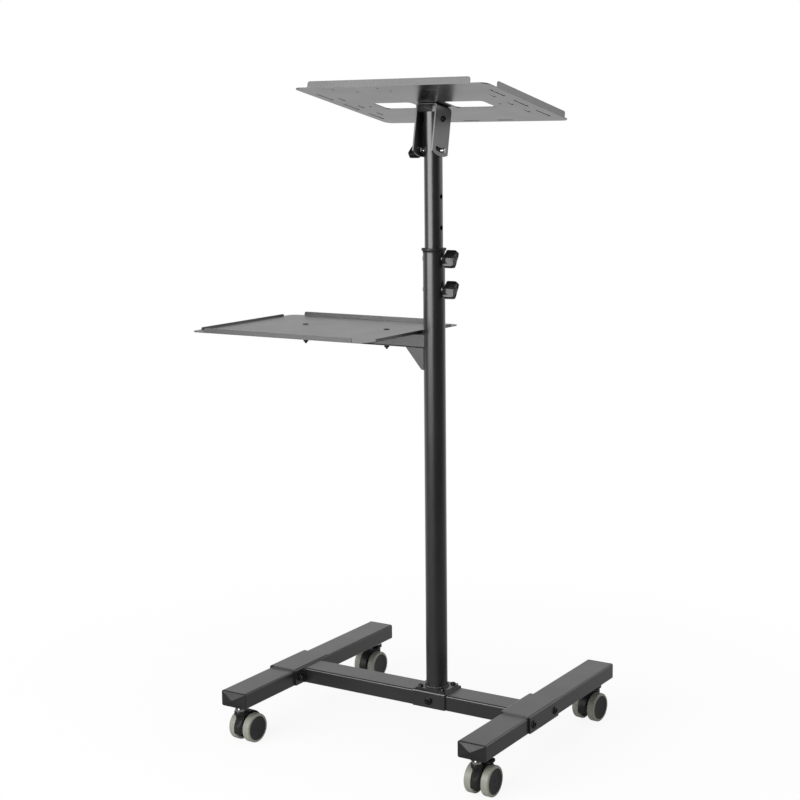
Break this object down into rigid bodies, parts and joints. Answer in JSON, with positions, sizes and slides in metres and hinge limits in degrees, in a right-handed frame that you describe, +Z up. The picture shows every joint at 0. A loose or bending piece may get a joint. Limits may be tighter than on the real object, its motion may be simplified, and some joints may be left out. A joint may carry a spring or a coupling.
{
  "type": "portable projector stand",
  "caption": "Wheeled steel stand with a telescoping mast, a tilting projector tray on top and a laptop shelf at the side.",
  "frame": {"origin": "on the floor, below the middle of the whole stand", "axes": "+X to the right along the crossbar, seen from the front; +Y to the rear along the legs; +Z up along the mast"},
  "size_m": [0.5752, 0.472, 1.1053],
  "materials": {
    "black_steel": "fine textured black powder coat, satin",
    "black_nylon": "moulded black nylon, satin",
    "grey_wheel": "grey tread and hub",
    "bright_steel": "zinc plated"
  },
  "bodies": {
    "base": {"left_leg": "black_steel", "right_leg": "black_steel", "left_front_cap": "black_nylon", "left_rear_cap": "black_nylon", "right_front_cap": "black_nylon", "right_rear_cap": "black_nylon", "crossbar": "black_steel", "left_saddle": "black_steel", "right_saddle": "black_steel", "mast_saddle": "black_steel", "mast_foot": "black_steel", "lower_mast": "black_steel", "mast_collar": "black_nylon", "shelf_arm": "black_steel", "shelf_gusset": "black_steel", "laptop_shelf": "black_steel", "left_front_stem": "bright_steel", "left_rear_stem": "bright_steel", "right_front_stem": "bright_steel", "right_rear_stem": "bright_steel"},
    "mast_tube": {"upper_mast": "black_steel", "tilt_pivot_bolt": "bright_steel", "tilt_clamp_screw": "bright_steel"},
    "tray": {"tilt_bracket": "black_steel", "projector_tray": "black_steel"},
    "upper_knob": {"upper_height_knob": "black_nylon"},
    "lower_knob": {"lower_height_knob": "black_nylon"},
    "tray_knob": {"tilt_knob": "black_nylon"},
    "brake": {"brake_pedal": "black_nylon"},
    "left_front_caster": {"left_front_fork": "black_nylon"},
    "left_front_outer_wheel": {"left_front_outer_wheel": "grey_wheel"},
    "left_front_inner_wheel": {"left_front_inner_wheel": "grey_wheel"},
    "left_rear_caster": {"left_rear_fork": "black_nylon"},
    "left_rear_outer_wheel": {"left_rear_outer_wheel": "grey_wheel"},
    "left_rear_inner_wheel": {"left_rear_inner_wheel": "grey_wheel"},
    "right_front_caster": {"right_front_fork": "black_nylon"},
    "right_front_outer_wheel": {"right_front_outer_wheel": "grey_wheel"},
    "right_front_inner_wheel": {"right_front_inner_wheel": "grey_wheel"},
    "right_rear_caster": {"right_rear_fork": "black_nylon"},
    "right_rear_outer_wheel": {"right_rear_outer_wheel": "grey_wheel"},
    "right_rear_inner_wheel": {"right_rear_inner_wheel": "grey_wheel"}
  },
  "joints": [
    {"name": "mast_height", "type": "slide", "parent": "base", "child": "mast_tube", "axis": [0, 0, 1], "range_m": [-0.1, 0.15]},
    {"name": "tray_tilt", "type": "hinge", "parent": "mast_tube", "child": "tray", "pos_m": [0.08345, -0.039, 1.045], "axis": [1, 0, 0], "range_deg": [-1, 23]},
    {"name": "upper_knob_turn", "type": "hinge", "parent": "base", "child": "upper_knob", "pos_m": [0.10145, -0.039, 0.822], "axis": [1, 0, 0], "range_deg": [0, 360]},
    {"name": "lower_knob_turn", "type": "hinge", "parent": "base", "child": "lower_knob", "pos_m": [0.10145, -0.039, 0.772], "axis": [1, 0, 0], "range_deg": [0, 360]},
    {"name": "tilt_knob_turn", "type": "hinge", "parent": "mast_tube", "child": "tray_knob", "pos_m": [0.06845, -0.039, 0.995], "axis": [-1, 0, 0], "range_deg": [0, 360]},
    {"name": "left_front_swivel", "type": "hinge", "parent": "base", "child": "left_front_caster", "pos_m": [-0.20255, -0.214, 0.068], "axis": [0, 0, 1], "continuous": true},
    {"name": "left_front_outer_spin", "type": "hinge", "parent": "left_front_caster", "child": "left_front_outer_wheel", "pos_m": [-0.20116, -0.19405, 0.025], "axis": [0.9976, -0.0698, 0], "continuous": true},
    {"name": "left_front_inner_spin", "type": "hinge", "parent": "left_front_caster", "child": "left_front_inner_wheel", "pos_m": [-0.20116, -0.19405, 0.025], "axis": [0.9976, -0.0698, 0], "continuous": true},
    {"name": "left_rear_swivel", "type": "hinge", "parent": "base", "child": "left_rear_caster", "pos_m": [-0.20255, 0.214, 0.068], "axis": [0, 0, 1], "continuous": true},
    {"name": "left_rear_outer_spin", "type": "hinge", "parent": "left_rear_caster", "child": "left_rear_outer_wheel", "pos_m": [-0.20325, 0.19401, 0.025], "axis": [-0.9994, 0.0349, 0], "continuous": true},
    {"name": "left_rear_inner_spin", "type": "hinge", "parent": "left_rear_caster", "child": "left_rear_inner_wheel", "pos_m": [-0.20325, 0.19401, 0.025], "axis": [-0.9994, 0.0349, 0], "continuous": true},
    {"name": "right_front_swivel", "type": "hinge", "parent": "base", "child": "right_front_caster", "pos_m": [0.25945, -0.214, 0.068], "axis": [0, 0, 1], "continuous": true},
    {"name": "right_front_outer_spin", "type": "hinge", "parent": "right_front_caster", "child": "right_front_outer_wheel", "pos_m": [0.2598, -0.194, 0.025], "axis": [0.9998, -0.0175, 0], "continuous": true},
    {"name": "right_front_inner_spin", "type": "hinge", "parent": "right_front_caster", "child": "right_front_inner_wheel", "pos_m": [0.2598, -0.194, 0.025], "axis": [0.9998, -0.0175, 0], "continuous": true},
    {"name": "brake_press", "type": "hinge", "parent": "right_front_caster", "child": "brake", "pos_m": [0.25969, -0.2005, 0.0565], "axis": [0.9998, -0.0175, 0], "range_deg": [-10, 0]},
    {"name": "right_rear_swivel", "type": "hinge", "parent": "base", "child": "right_rear_caster", "pos_m": [0.25945, 0.214, 0.068], "axis": [0, 0, 1], "continuous": true},
    {"name": "right_rear_outer_spin", "type": "hinge", "parent": "right_rear_caster", "child": "right_rear_outer_wheel", "pos_m": [0.25736, 0.19411, 0.025], "axis": [-0.9945, 0.1045, 0], "continuous": true},
    {"name": "right_rear_inner_spin", "type": "hinge", "parent": "right_rear_caster", "child": "right_rear_inner_wheel", "pos_m": [0.25736, 0.19411, 0.025], "axis": [-0.9945, 0.1045, 0], "continuous": true}
  ]
}
